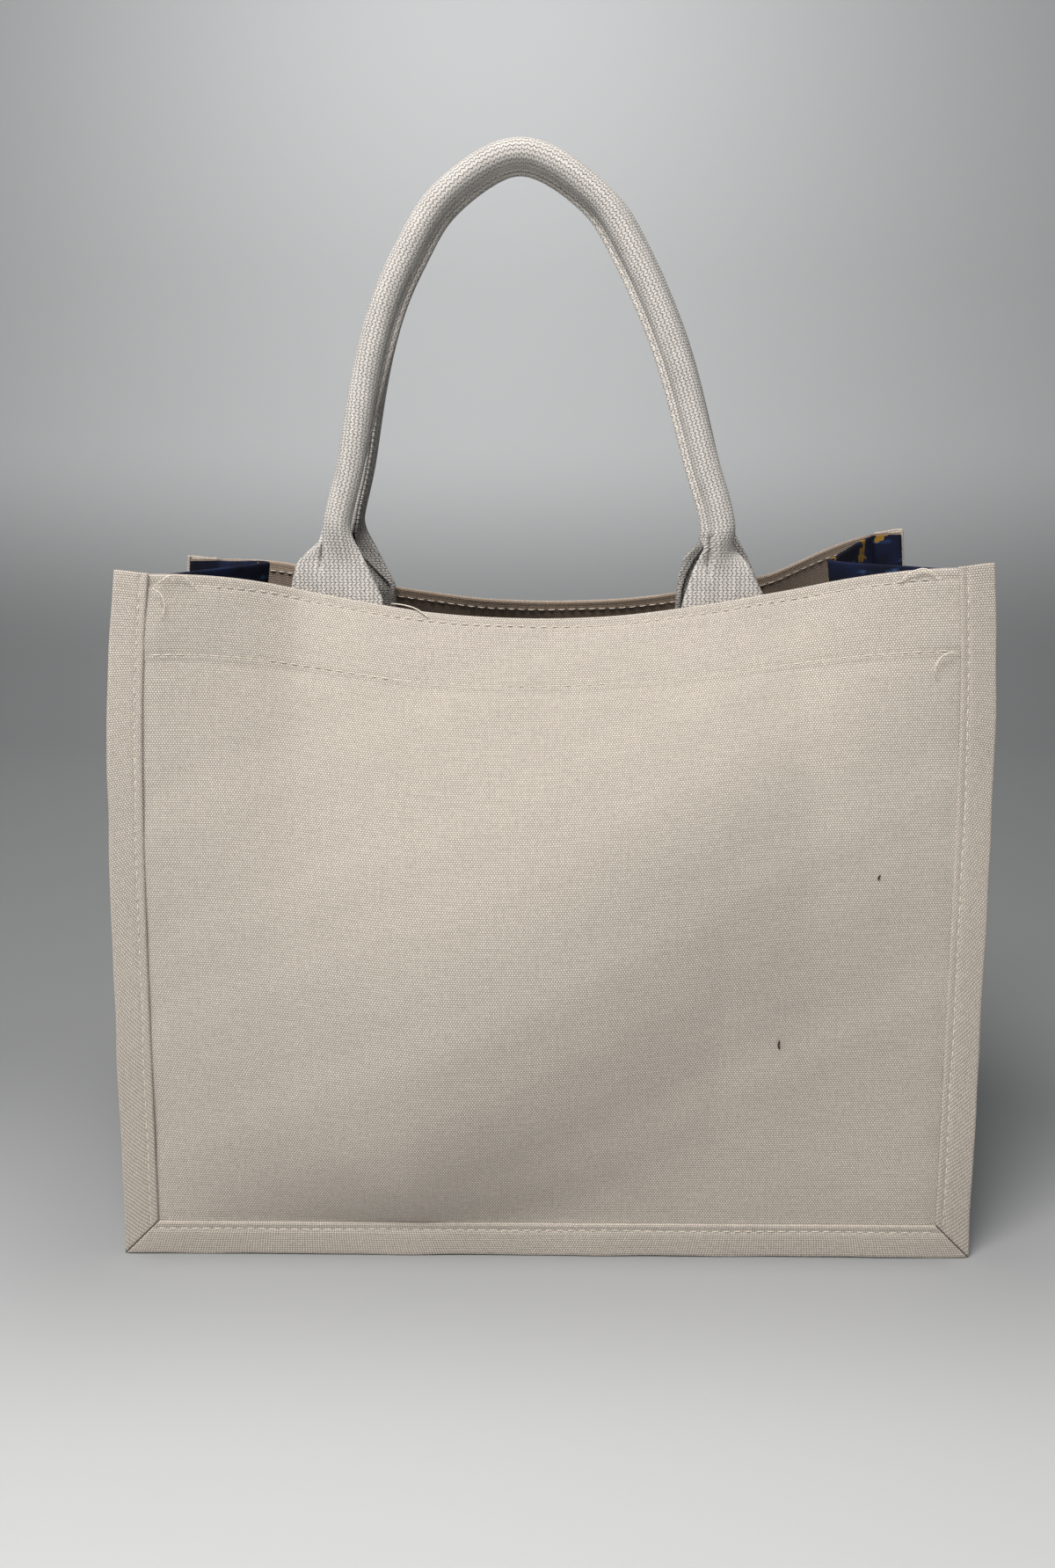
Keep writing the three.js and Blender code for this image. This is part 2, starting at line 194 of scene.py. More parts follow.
def make_piece(name, points, quads, corner_uv, material, body):
    """A mesh piece with its own UV map in metres of cloth. Its faces are turned outwards by the sign of its
    volume. Whatever rides on the bag follows its unevenness."""
    if body == "bag":
        points = settled(points)
    corner = points[quads]
    volume = (corner[:, 0] * np.cross(corner[:, 1], corner[:, 2])).sum()
    volume += (corner[:, 0] * np.cross(corner[:, 2], corner[:, 3])).sum()
    if volume < 0:
        quads, corner_uv = quads[:, ::-1], corner_uv[:, ::-1]
    mesh = bpy.data.meshes.new(name)
    mesh.vertices.add(len(points))
    mesh.vertices.foreach_set("co", np.ascontiguousarray(points, dtype=np.float32).ravel())
    mesh.loops.add(quads.size)
    mesh.loops.foreach_set("vertex_index", np.ascontiguousarray(quads, dtype=np.int32).ravel())
    mesh.polygons.add(len(quads))
    mesh.polygons.foreach_set("loop_start", np.arange(0, quads.size, 4, dtype=np.int32))
    layer = mesh.uv_layers.new(name="cloth")
    mesh.update(calc_edges=True)
    layer.data.foreach_set("uv", np.ascontiguousarray(corner_uv, dtype=np.float32).ravel())
    mesh.polygons.foreach_set("use_smooth", np.ones(len(quads), dtype=bool))
    mesh.materials.append(material_of[material])
    piece = bpy.data.objects.new(name, mesh)
    bpy.context.scene.collection.objects.link(piece)
    if body:
        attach(piece, body)
    return piece


def ring_quads(stations, around, start=0):
    """Quads between neighbouring rings of a loft that closes on itself, and strips of quads over its ends."""
    i, j = np.meshgrid(np.arange(stations - 1), np.arange(around), indexing="ij")
    k = (j + 1) % around
    sides = np.stack([i * around + j, i * around + k, (i + 1) * around + k, (i + 1) * around + j], axis=-1)
    h = np.arange(around // 2 - 1)
    cap = np.stack([h, around - 1 - h, around - 2 - h, h + 1], axis=-1)
    far = cap[:, ::-1] + (stations - 1) * around
    return np.concatenate([sides.reshape(-1, 4), cap, far]) + start


def ring_uv(uv):
    """The corner coordinates that go with ring_quads, from uv over stations x (around + 1)."""
    sides = np.stack([uv[:-1, :-1], uv[:-1, 1:], uv[1:, 1:], uv[1:, :-1]], axis=2)
    around = uv.shape[1] - 1
    h = np.arange(around // 2 - 1)
    order = np.stack([h, around - 1 - h, around - 2 - h, h + 1], axis=-1)
    return np.concatenate([sides.reshape(-1, 4, 2), uv[0][order], uv[-1][order[:, ::-1]]])


def loft(name, rings, uv, material, body="bag"):
    """A closed piece from rings of points, stations x around x 3."""
    stations, around = rings.shape[:2]
    quads = ring_quads(stations, around)
    return make_piece(name, rings.reshape(-1, 3), quads, ring_uv(uv), material, body)


def turned(points, back):
    """The points, or the same points turned half round the bag's middle for the back face."""
    return points * np.array([-1, -1, 1]) if back else points


def settled(points):
    """The bag's own unevenness, as a shift that grows with the cube of the height and towards each corner:
    the back right corner stands up and back, and the other three droop or stand a little."""
    x, y, z = points[..., 0], points[..., 1], points[..., 2]
    high = np.clip(z / HEIGHT, 0, 1.1) ** 3
    right = smooth(x, 118 * MM, 195 * MM)
    left = smooth(-x, 118 * MM, 195 * MM)
    behind = smooth(y, -20 * MM, 60 * MM)
    lift = right * (9 * behind + 2.2 * (1 - behind)) - left * (5 * behind + 1.2 * (1 - behind))
    push = (8 * right - 5 * left) * behind
    outwards = 1.5 * right * (1 - behind) + 2.5 * left * (1 - behind)
    return points + np.stack([outwards, push, lift], axis=-1) * (high * MM)[..., None]


def along(points):
    """Distance along a polyline, for rows of points in two or three dimensions."""
    step = np.linalg.norm(np.diff(points, axis=-2), axis=-1)
    return np.concatenate([np.zeros_like(step[..., :1]), np.cumsum(step, axis=-1)], axis=-1)


def round_cut(section, closing=0.0):
    """Distances along a closed cut's points, and back to its first."""
    reach = along(section)
    return np.append(reach, reach[-1] + closing)


# ---- Faces ----


def face_section():
    """A face's cut from front to back as (up, off): up the outside, round the top fold, and down the inside,
    which is set back where the hem is double. The two halves have as many points, so that the ends close."""
    fine = np.concatenate([
        np.linspace(0, STRIP, 6),
        np.linspace(STRIP + 3 * MM, LOWER_ROW - 6 * MM, 118),
        np.linspace(LOWER_ROW - 5 * MM, LOWER_ROW + 4 * MM, 15),
        np.linspace(LOWER_ROW + 6 * MM, UPPER_ROW - 4 * MM, 14),
        np.linspace(UPPER_ROW - 3 * MM, HEIGHT, 11),
    ])
    outside = np.stack([fine, np.zeros_like(fine)], axis=-1)
    turn = np.linspace(0, np.pi / 2, 6)[1:]
    bulge = HEM_THICK / 2
    fold = np.stack([HEIGHT + bulge * np.sin(turn), -bulge * (1 - np.cos(turn))], axis=-1)
    first = np.concatenate([outside, fold[:-1]])
    back_up = first[::-1, 0]
    back_off = np.where(back_up > HEIGHT, -HEM_THICK - first[::-1, 1], -HEM_THICK)
    step = smooth(back_up, HEIGHT - HEM - 0.8 * MM, HEIGHT - HEM + 0.4 * MM)
    back_off = np.where(back_up > HEIGHT, back_off, -PLY - (HEM_THICK - PLY) * step)
    return np.concatenate([first, np.stack([back_up, back_off], axis=-1)])


def face_panel(which, back):
    across = np.concatenate([
        np.linspace(-WIDTH / 2 + 1.4 * MM, -SEAM - 2 * MM, 7),
        np.linspace(-SEAM, SEAM, 211),
        np.linspace(SEAM + 2 * MM, WIDTH / 2 - 1.4 * MM, 7),
    ])[:, None]
    section = face_section()
    up, off = section[None, :, 0], section[None, :, 1]
    thin = smooth(np.abs(across), SEAM - 7 * MM, SEAM - 3 * MM)
    off = np.where(off < -PLY, off + (-PLY - off) * thin, off)
    points = FACE.at(across, up, off + face_relief(across, np.minimum(up, HEIGHT)))
    cut = round_cut(section, PLY)
    uv = spread(across, cut[None, :])
    piece = loft(f"{which}_canvas_panel", turned(points, back), uv, "canvas")
    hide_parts(f"{which}_panel")
    return piece


def strip_section():
    """An edge strip's cut as (distance from its inner edge, off): the folded inner edge, a quilted top with
    a dip where it is sewn, and a round outer edge that wraps the face's own edge."""
    t = np.concatenate([np.linspace(0, 6, 16), np.linspace(6.6, 15.4, 14)]) * MM
    top = (1.25 + 0.25 * np.sin(np.pi * t / STRIP)) * MM
    top -= 0.45 * MM * bell(t, 3.6 * MM, 1.1 * MM)
    top -= 0.9 * MM * bell(t, -0.1 * MM, 0.45 * MM)
    turn = np.linspace(0, np.pi, 11)[1:-1]
    half = 1.42 * MM
    outer = np.stack([STRIP - half + half * np.sin(turn), top[-1] - half + half * np.cos(turn)], axis=-1)
    first = np.concatenate([np.stack([t, top], axis=-1), outer[:5]])
    under_t = first[::-1, 0].copy()
    under = np.full_like(under_t, 0.1 * MM)
    wrap = np.concatenate([outer[5:], [[STRIP - 1.9 * MM, top[-1] - 2 * half]]])
    under_t[: len(wrap)], under[: len(wrap)] = wrap[:, 0], wrap[:, 1]
    return np.concatenate([first, np.stack([under_t, under], axis=-1)])


def strip_points(where, length, section, seed):
    """Points of a strip from where(distance along, t, off), with a wandering outer edge and puckers at the
    stitches; the callers round its ends with end_rounding."""
    t, off = section[None, :, 0], section[None, :, 1]
    pucker = 0.14 * MM * np.cos(2 * np.pi * length / STITCH) * bell(t, 3.6 * MM, 2.2 * MM)
    wave = 0.35 * MM * drift(length, seed, 0.13) * (t / STRIP)
    wide = 1 + 0.02 * drift(length, seed + 1, 0.09)
    return where(length, t * wide, off + np.where(off > 0.2 * MM, pucker, 0) + wave)


def end_rounding(rings, depth):
    """The first and last rings pulled in towards their own middle line, for rounded ends."""
    rings = rings.copy()
    half = rings.shape[1] // 2
    for k, share in enumerate(np.sqrt(1 - (1 - np.linspace(0.25, 1, depth)) ** 2)):
        for i in (k, -1 - k):
            ring = rings[i]
            partner = ring[::-1]
            middle = (ring + partner) / 2
            rings[i] = middle + (ring - middle) * share
    assert half * 2 == rings.shape[1]
    return rings


MITRE_GAP = 0.35 * MM
TAB = 3.4 * MM  # the side strips' tops stand above the hem by this much


def side_strip(which, side, back):
    section = strip_section()
    share = np.concatenate([np.linspace(0, 0.012, 5), np.linspace(0.02, 0.985, 150), np.linspace(0.99, 1, 5)])

    def where(v, t, off):
        low = STRIP - t + MITRE_GAP
        top = HEIGHT + TAB * (0.55 + 0.45 * smooth(t, 0, STRIP))
        return FACE.at(side * (SEAM + t), low + (top - low) * v, off)

    length = share[:, None] * HEIGHT
    points = strip_points(lambda s, t, off: where(s / HEIGHT, t, off), length, section, 20 + side)
    points = end_rounding(points, 3)
    uv = spread(round_cut(section)[None, :], length)
    hand = "left" if (side < 0) != back else "right"
    piece = loft(f"{which}_{hand}_turned_edge", turned(points, back), uv, "canvas_edge")
    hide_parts(f"{which}_{hand}_edge_strip")
    return piece


def bottom_strip(which, back):
    section = strip_section()
    end = np.linspace(0.98, 1, 5)
    share = np.concatenate([np.linspace(-1, -0.98, 5), np.linspace(-0.97, 0.97, 190), end])

    def where(v, t, off):
        return FACE.at(v * (SEAM + t - MITRE_GAP), STRIP - t, off)

    length = share[:, None] * WIDTH / 2
    points = strip_points(lambda s, t, off: where(2 * s / WIDTH, t, off), length, section, 31)
    points = end_rounding(points, 3)
    points[..., 2] = np.maximum(points[..., 2], 0)
    uv = spread(length, -round_cut(section)[None, :])
    piece = loft(f"{which}_bottom_turned_edge", turned(points, back), uv, "canvas_edge")
    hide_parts(f"{which}_bottom_edge_strip")
    return piece


# ---- Stitching ----


def stitches(name, starts, ends, outward, body, replaced, thick=0.5 * MM, rise=0.42 * MM):
    """A row of separate stitches: each is a thread with round ends that rises from one hole and dives into
    the next. Its height is the sine of the way along it."""
    v = np.linspace(0, 1, 6)[None, :, None, None]
    turn = np.linspace(0, 2 * np.pi, 7)[:-1][None, None, :, None]
    run = ends - starts
    length = np.linalg.norm(run, axis=-1, keepdims=True)
    forward = run / length
    side = np.cross(outward, forward)
    high = (np.sin(np.pi * v) * rise - 0.15 * MM)
    taper = 0.45 + 0.55 * np.sin(np.pi * v) ** 0.5
    centre = starts[:, None, None] + run[:, None, None] * v + outward[:, None, None] * high
    radius = thick / 2 * taper
    points = centre + radius * (np.cos(turn) * side[:, None, None] + np.sin(turn) * outward[:, None, None])
    count, stations, around = points.shape[:3]
    one = ring_quads(stations, around)
    quads = (one[None] + (np.arange(count) * stations * around)[:, None, None]).reshape(-1, 4)
    grid = spread(np.arange(around + 1)[None, :] / around * 1.5 * MM,
                                        v[0, :, 0, 0][:, None] * STITCH)
    uv = np.broadcast_to(ring_uv(grid), (count, len(one), 4, 2)).reshape(-1, 4, 2)
    piece = make_piece(name, points.reshape(-1, 3), quads, uv, "thread", body)
    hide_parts(*replaced)
    return piece


def row_on_cloth(cloth, first, second, off):
    """Starts, ends and outward directions of the stitches of a row that runs through the given places."""
    points = cloth.at(first, second, off)
    above = cloth.at(first, second, off + np.sign(off) * MM if np.all(off != 0) else MM)
    reach = along(points)
    marks = np.arange(0.3 * STITCH, reach[-1] - STITCH, STITCH)
    places = np.stack([[np.interp(m, reach, c) for c in points.T] for m in (marks, marks + 0.72 * STITCH)])
    lifted = np.stack([np.interp(marks, reach, c) for c in above.T], axis=-1)
    starts, ends = places[0].T, places[1].T
    outward = lifted - starts
    return starts, ends, unit(outward)


def joined_rows(rows):
    return [np.concatenate(parts) for parts in zip(*rows)]


def face_stitching(which, back):
    """Both hem rows, seen on the outside and on the inside, and the row that holds the three strips."""
    across = np.linspace(-SEAM + 2 * MM, SEAM - 2 * MM, 240)
    for row, label in ((UPPER_ROW, "upper"), (LOWER_ROW, "lower")):
        wander = row + 0.35 * MM * drift(across, int(row * 9000), 0.11)
        outer = row_on_cloth(FACE, across, wander, face_relief(across, row) + 0.1 * MM)
        inner = row_on_cloth(FACE, across, wander, face_relief(across, row) - HEM_THICK - 0.1 * MM)
        inner = (inner[0], inner[1], -np.abs(inner[2]) * np.sign(FACE.normals[424, 600]))
        starts, ends, outward = (turned(part, back) for part in joined_rows([outer, inner]))
        stitches(f"{which}_hem_{label}_stitches", starts, ends, outward, "bag",
                 [f"{which}_hem_{label}_stitching"])
    inset = SEAM + 3.6 * MM
    low = STRIP - 3.6 * MM
    up = np.linspace(low + 1 * MM, HEIGHT - 1 * MM, 200)
    flat = np.linspace(-inset + 2 * MM, inset - 2 * MM, 240)
    sew = 0.95 * MM
    rows = [row_on_cloth(FACE, side * (inset + 0.3 * MM * drift(up, 50 + side, 0.1)), up, sew)
            for side in (-1, 1)]
    rows.append(row_on_cloth(FACE, flat, low + 0.3 * MM * drift(flat, 53, 0.1), sew))
    starts, ends, outward = (turned(part, back) for part in joined_rows(rows))
    stitches(f"{which}_edge_stitches", starts, ends, outward, "bag", [f"{which}_edge_strip_stitching"])


def strands(name, lines, radius, material):
    """Thin round strands over the front face, along smooth curves through places given in millimetres as
    (across, up, off). They thin towards both ends."""
    points, quads, uvs, start = [], [], [], 0
    turn = np.linspace(0, 2 * np.pi, 7)[:-1][None, :, None]
    for line in lines:
        across, up, off = np.array(line, float).T * MM
        path, reach = smooth_path(FACE.at(across, up, off), 0.7 * MM)
        tangent = np.gradient(path, axis=0)
        side = np.cross(tangent, [0, -1.0, 0])
        side = unit(side)
        top = np.cross(side, tangent)
        top = unit(top)
        width = radius * (0.35 + 0.65 * np.sin(np.pi * np.clip(reach / reach[-1], 0.02, 0.98)) ** 0.4)
        spokes = np.cos(turn) * side[:, None] + np.sin(turn) * top[:, None]
        rings = path[:, None] + width[:, None, None] * spokes
        points.append(rings.reshape(-1, 3))
        quads.append(ring_quads(len(path), 6, start))
        grid = spread(np.arange(7)[None, :] * 0.25 * MM, reach[:, None])
        uvs.append(ring_uv(grid))
        start += len(path) * 6
    points, quads, uvs = (np.concatenate(parts) for parts in (points, quads, uvs))
    make_piece(name, points, quads, uvs, material, "bag")


def loose_ends():
    """What a close look finds on the front face: thread tails where the rows of stitching end and beside the
    left foot, and two dark specks of seed husk in the cloth."""
    strands("front_loose_threads", (
        ((-189, 332, 2.0), (-184, 335.5, 2.6), (-177, 335, 2.0), (-172, 331, 1.2)),
        ((-191, 330, 2.2), (-187, 327, 3.0), (-185, 321, 2.6), (-186, 316, 1.6)),
        ((190, 299, 1.8), (185, 297, 2.8), (182, 292, 2.6), (183, 287, 1.4)),
        ((184, 333, 1.5), (179, 336.5, 2.4), (173, 335, 2.2), (168, 331, 1.2)),
        ((-79, 337.5, 0.2), (-73, 337.6, 0.8), (-66, 336.4, 1.4), (-60, 333, 1.2)),
    ), 0.3 * MM, "thread")
    strands("front_husk_specks", (
        ((112, 111, 0.3), (111.4, 113.2, 0.6), (111.8, 115.5, 0.3)),
        ((157, 193, 0.3), (157.4, 194.2, 0.4), (158, 195.4, 0.3)),
    ), 0.6 * MM, "husk")


# ---- Gussets and base ----

BEHIND = 2.1 * MM  # from a face's outer surface to the middle of the ply behind it
GUSSET_FOLD = 42 * MM
GUSSET_HEM = 36 * MM


def gusset_cloth():
    """The left gusset's middle surface over (place across, up). Across runs from -1 - e at the front
    allowance's edge, through -1 at the front seam, 0 at the crease and 1 at the back seam. The crease is
    pushed in as a sine of the height, and is round low down and sharp at the top."""
    place = np.linspace(-1.2, 1.2, 961)[:, None]
    up = np.linspace(STRIP + 0.3 * MM, HEIGHT - 1 * MM, 420)[None, :]
    share = (up - STRIP) / RISE
    narrowed = 1 - 0.012 * share - 0.03 * share**6
    side_y = BASE_Y - LEAN_EDGE * share - BEHIND
    fold = GUSSET_FOLD * np.sin(np.pi / 2 * share) ** 0.9
    sharp = 2 - 0.85 * share
    web = np.clip(np.abs(place), 0, 1)
    soft = np.sqrt(web**2 + 0.0012) - np.sqrt(0.0012)
    ripple = 1.6 * MM * np.sin(2 * np.pi * (web - 0.1)) * np.sin(np.pi * share) * (1 - web**4)
    x = -SEAM * narrowed + fold * (1 - soft**sharp) + ripple
    x = x - np.clip(np.abs(place) - 1, 0, 1) * 85 * MM * narrowed
    y = np.clip(place, -1, 1) * side_y
    z = up - LEAN_EDGE**2 / (2 * RISE) * share + 0 * place
    points = spread(x, y, z)
    kernel = np.hanning(9) / np.hanning(9).sum()
    padded = np.pad(points, ((4, 4), (0, 0), (0, 0)), mode="edge")
    rounded = sum(k * padded[i : i + len(points)] for i, k in enumerate(kernel))
    return Cloth(place[:, 0], up[0], rounded)


GUSSET = gusset_cloth()


def gusset(hand, back):
    """A gusset as one closed sheet whose top hem is turned to the inside."""
    top = HEIGHT - 1 * MM
    fine = np.concatenate([
        np.linspace(STRIP + 0.3 * MM, top - GUSSET_HEM - 2 * MM, 60),
        np.linspace(top - GUSSET_HEM - 1 * MM, top - GUSSET_HEM + 1 * MM, 5),
        np.linspace(top - GUSSET_HEM + 3 * MM, top, 22),
    ])
    thick = PLY + (HEM_THICK - PLY) * smooth(fine, top - GUSSET_HEM - 0.5 * MM, top - GUSSET_HEM + 0.5 * MM)
    turn = np.linspace(0, np.pi / 2, 5)[1:-1]
    half = HEM_THICK / 2
    outside = np.stack([fine, np.full_like(fine, -PLY / 2)], axis=-1)
    fold = np.stack([top + half * np.sin(turn), -PLY / 2 + half * (1 - np.cos(turn))], axis=-1)
    inside = np.stack([fine[::-1], (-PLY / 2 + thick)[::-1]], axis=-1)
    fold_in = np.stack([fold[::-1, 0], -PLY + HEM_THICK - fold[::-1, 1]], axis=-1)
    section = np.concatenate([outside, fold, fold_in, inside])
    place = np.concatenate([
        -1 - np.linspace(0.195, 0.02, 8), np.linspace(-1.01, -0.93, 9), np.linspace(-0.91, -0.08, 44),
        np.linspace(-0.06, 0.06, 13), np.linspace(0.08, 0.91, 44), np.linspace(0.93, 1.01, 9),
        1 + np.linspace(0.02, 0.195, 8),
    ])[:, None]
    up, off = section[None, :, 0], section[None, :, 1]
    thin = smooth(np.abs(place), 0.9, 0.96)
    off = np.where(off > PLY / 2, off + (PLY / 2 - off) * thin, off)
    uneven = 0.7 * MM * drift(up + 0.06 * place, 8, 0.1) * (1 - np.clip(np.abs(place), 0, 1) ** 4)
    points = GUSSET.at(place, up, -(off + uneven))
    cut = round_cut(section, PLY)
    uv = spread(place * 93 * MM + (0.5 if back else 0), cut[None, :])
    piece = loft(f"{hand}_printed_gusset", turned(points, back), uv, "print")
    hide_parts(f"{hand}_gusset")
    row = top - GUSSET_HEM + 2.5 * MM
    run = np.linspace(-0.95, 0.95, 300)
    rows = [row_on_cloth(GUSSET, run, np.full_like(run, row), np.full_like(run, off))
            for off in (PLY / 2 + 0.1 * MM, -HEM_THICK + PLY / 2 - 0.1 * MM)]
    starts, ends, outward = (turned(part, back) for part in joined_rows(rows))
    stitches(f"{hand}_gusset_stitches", starts, ends, outward, "bag", [f"{hand}_gusset_hem_stitching"])
    return piece


def base_sheet():
    """The base cloth: level between the faces with a slight sag, and turned down behind the bottom strips
    in a small round at each side."""
    reach = BASE_Y - BEHIND
    radius = 3 * MM
    flat = np.linspace(-reach + radius, reach - radius, 60)
    turn = np.linspace(0, np.pi / 2, 7)
    corner = np.stack([reach - radius + radius * np.sin(turn),
                       STRIP - PLY / 2 - radius * (1 - np.cos(turn))], axis=-1)
    drop = np.linspace(STRIP - PLY / 2 - radius, PLY / 2, 10)[1:]
    right = np.concatenate([corner[1:], np.stack([np.full_like(drop, reach), drop], axis=-1)])
    left = right[::-1] * np.array([-1, 1])
    line = np.concatenate([left, np.stack([flat, np.full_like(flat, STRIP - PLY / 2)], axis=-1), right])
    direction = np.gradient(line, axis=0)
    direction = unit(direction)
    normal = np.stack([-direction[:, 1], direction[:, 0]], axis=-1)
    section = np.concatenate([line + normal * PLY / 2, (line - normal * PLY / 2)[::-1]])
    x = np.linspace(-SEAM + 0.3 * MM, SEAM - 0.3 * MM, 120)[:, None]
    y, z = section[None, :, 0], section[None, :, 1]
    sag = 2.2 * MM * (1 - (x / SEAM) ** 2) * np.clip(1 - (y / reach) ** 2, 0, 1)
    rings = spread(x, y, z - sag)
    cut = round_cut(section, PLY)
    uv = spread(x, cut[None, :])
    piece = loft("printed_base", rings, uv, "print")
    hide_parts("base_panel")
    return piece


# ---- Handles ----

WEB = 50 * MM  # width of the handle webbing
WEB_THICK = 1.5 * MM
TUBE = 5.95 * MM  # from the middle of the rolled handle to the middle of its webbing
FIN = 10.0 * MM  # and to the webbing's sewn edges
LIP = 0.9 * MM  # between the slit and the middle of each edge
PIVOT_Y = abs(frame["joints"][0]["pos_m"][1])
PIVOT_Z = frame["joints"][0]["pos_m"][2]
HANDLE_LEAN = math.radians(8.28)
SEAM_OUT = 8.4 * MM  # from the middle of the rolled handle to its row of stitching
ROLL_FROM, ROLL_TO = 15 * MM, 37 * MM  # heights above the hem over which a foot closes into a tube
ROLLED_HALF = 6.7 * MM  # half the rolled handle's width
CREASE_DEPTH, CREASE_WIDTH = 7.0 * MM, 1.1 * MM  # of the groove in each foot
FLAP_BACK = 1.4 * MM  # how far a foot lies back beyond its groove
SET_BACK = 2 * MM
HANDLE_MIDDLE = {"front": -9.2 * MM, "back": -6.2 * MM}
HANDLE_SPREAD = {"front": 1.0, "back": 1.05}
# Half of a padded handle's centre line, as (across, up) in millimetres from the middle of the hinge line.
HALF_ARCH = [
    (93.3, 20), (92.4, 34), (89.3, 46), (85.2, 60), (80.4, 81), (75.4, 102),
    (69.5, 122), (62.2, 141), (52.8, 160), (37.2, 184),
]
ARCH_TOP = 204.5
ARCH_SWAY = 4.3  # millimetres that the top of both arches hangs to the left
END_DEPTH = 33 * MM  # of a sewn end below the top edge
END_BEHIND = HEM_THICK + 1.9 * MM

# Half widths of a foot's two sides, in millimetres, at heights above the hem.
FLARES = {
    "flap": ((0, 20.8), (8, 19.8), (16, 17.8), (20, 15.6), (24, 12.8), (29, 9.2), (33, 6.9)),
    "straight": ((0, 21), (16, 13.6), (31, 7.2), (36, 6.7)),
    "lip": ((0, 17.5), (26, 9.6), (34, 8), (40, 6.7)),
    "wide": ((0, 21.5), (8, 17.5), (15, 13.5), (24, 10.4), (34, 8), (42, 6.7)),
}
# Which flare lies on the outer and on the inner side of each foot, and where its crease runs.
FEET = {
    ("front", -1): ("flap", "straight", -7.2),
    ("front", 1): ("wide", "lip", 5.8),
    ("back", -1): ("straight", "flap", 7.0),
    ("back", 1): ("straight", "straight", -6.5),
}


def smooth_path(points, step):
    """A smooth curve through the points, sampled evenly: cubic pieces whose slopes at the points come from
    their neighbours, over the square root of the distances between them."""
    points = np.asarray(points, float)
    knots = np.concatenate([[0], np.cumsum(np.linalg.norm(np.diff(points, axis=0), axis=1) ** 0.5)])
    slopes = np.gradient(points, knots, axis=0)
    t = np.linspace(0, knots[-1], 4000)
    k = np.clip(np.searchsorted(knots, t, side="right") - 1, 0, len(knots) - 2)
    h = (knots[k + 1] - knots[k])[:, None]
    s = ((t - knots[k])[:, None]) / h
    curve = ((2 * s**3 - 3 * s**2 + 1) * points[k] + (s**3 - 2 * s**2 + s) * h * slopes[k]
             + (3 * s**2 - 2 * s**3) * points[k + 1] + (s**3 - s**2) * h * slopes[k + 1])
    reach = along(curve)
    marks = np.linspace(0, reach[-1], int(reach[-1] / step) + 1)
    return np.stack([np.interp(marks, reach, c) for c in curve.T], axis=-1), marks


def handle_path(which):
    """The webbing's centre line: up the inside of the hem, over the arch, and down inside the hem again. The
    back handle is made facing the front and turned, so its line is mirrored here."""
    mirror = -1 if which == "back" else 1
    sway = lambda h: -mirror * ARCH_SWAY * np.clip((h - 48) / (141 - 48), 0, 1)
    half = [(HANDLE_SPREAD[which] * a, h) for a, h in HALF_ARCH]
    line = [(-a + sway(h), h) for a, h in half] + [(sway(ARCH_TOP), ARCH_TOP)]
    line = np.array(line + [(a + sway(h), h) for a, h in half[::-1]]) * MM
    middle = mirror * HANDLE_MIDDLE[which]
    cos, sin = math.cos(HANDLE_LEAN), math.sin(HANDLE_LEAN)
    arch = np.stack([middle + line[:, 0], -PIVOT_Y + SET_BACK * cos + line[:, 1] * sin,
                     PIVOT_Z - SET_BACK * sin + line[:, 1] * cos], axis=-1)
    ups = HEIGHT - np.array([END_DEPTH, 0.66 * END_DEPTH, 0.33 * END_DEPTH, 1 * MM])
    ends = []
    for x in (line[0, 0], line[-1, 0]):
        end = FACE.at(np.full(4, (middle + x) / 0.96), ups, -END_BEHIND)
        end[:, 0] = middle + x
        ends.append(end)
    path, reach = smooth_path(np.concatenate([ends[0], arch, ends[1][::-1]]), 1.8 * MM)
    for _ in range(14):  # rounds off what corners the points leave, above the hem
        inner = (reach[1:-1] > END_DEPTH) & (reach[1:-1] < reach[-1] - END_DEPTH)
        path[1:-1][inner] = ((path[:-2] + 2 * path[1:-1] + path[2:]) / 4)[inner]
    return path, along(path)


def flat_web(w, outer, inner):
    """The opened webbing's cut at distances w from its middle: straight out to its two folds, half a turn
    round each, and back behind itself for what is left."""
    edge = np.where(w > 0, inner, outer)
    fold = WEB_THICK * 0.62
    past = np.maximum(np.abs(w) - edge, 0)
    turn = np.minimum(past / fold, np.pi)
    out = np.minimum(np.abs(w), edge) + fold * np.sin(turn) - np.maximum(past - fold * np.pi, 0)
    return np.stack([np.sign(w) * out, fold * (np.cos(turn) - 1)], axis=-1)


def rolled_web(share, fin_angle):
    """The rolled webbing's cut over shares -1 to 1 of its width: a circle that starts opposite the fin, and
    two straight edges that leave it side by side along the fin."""
    root = math.asin(LIP / TUBE)
    arc = (np.pi - root) * TUBE
    start = TUBE * math.cos(root)
    half = arc + FIN - start
    w = np.abs(share) * half
    side = np.sign(share)
    theta = np.pi - np.minimum(w, arc) / TUBE
    radial = np.where(w < arc, TUBE * np.cos(theta), start + w - arc)
    sideways = np.where(w < arc, TUBE * np.sin(theta), LIP) * side
    cos, sin = np.cos(fin_angle), np.sin(fin_angle)
    return np.stack([radial * cos - sideways * sin, radial * sin + sideways * cos], axis=-1)


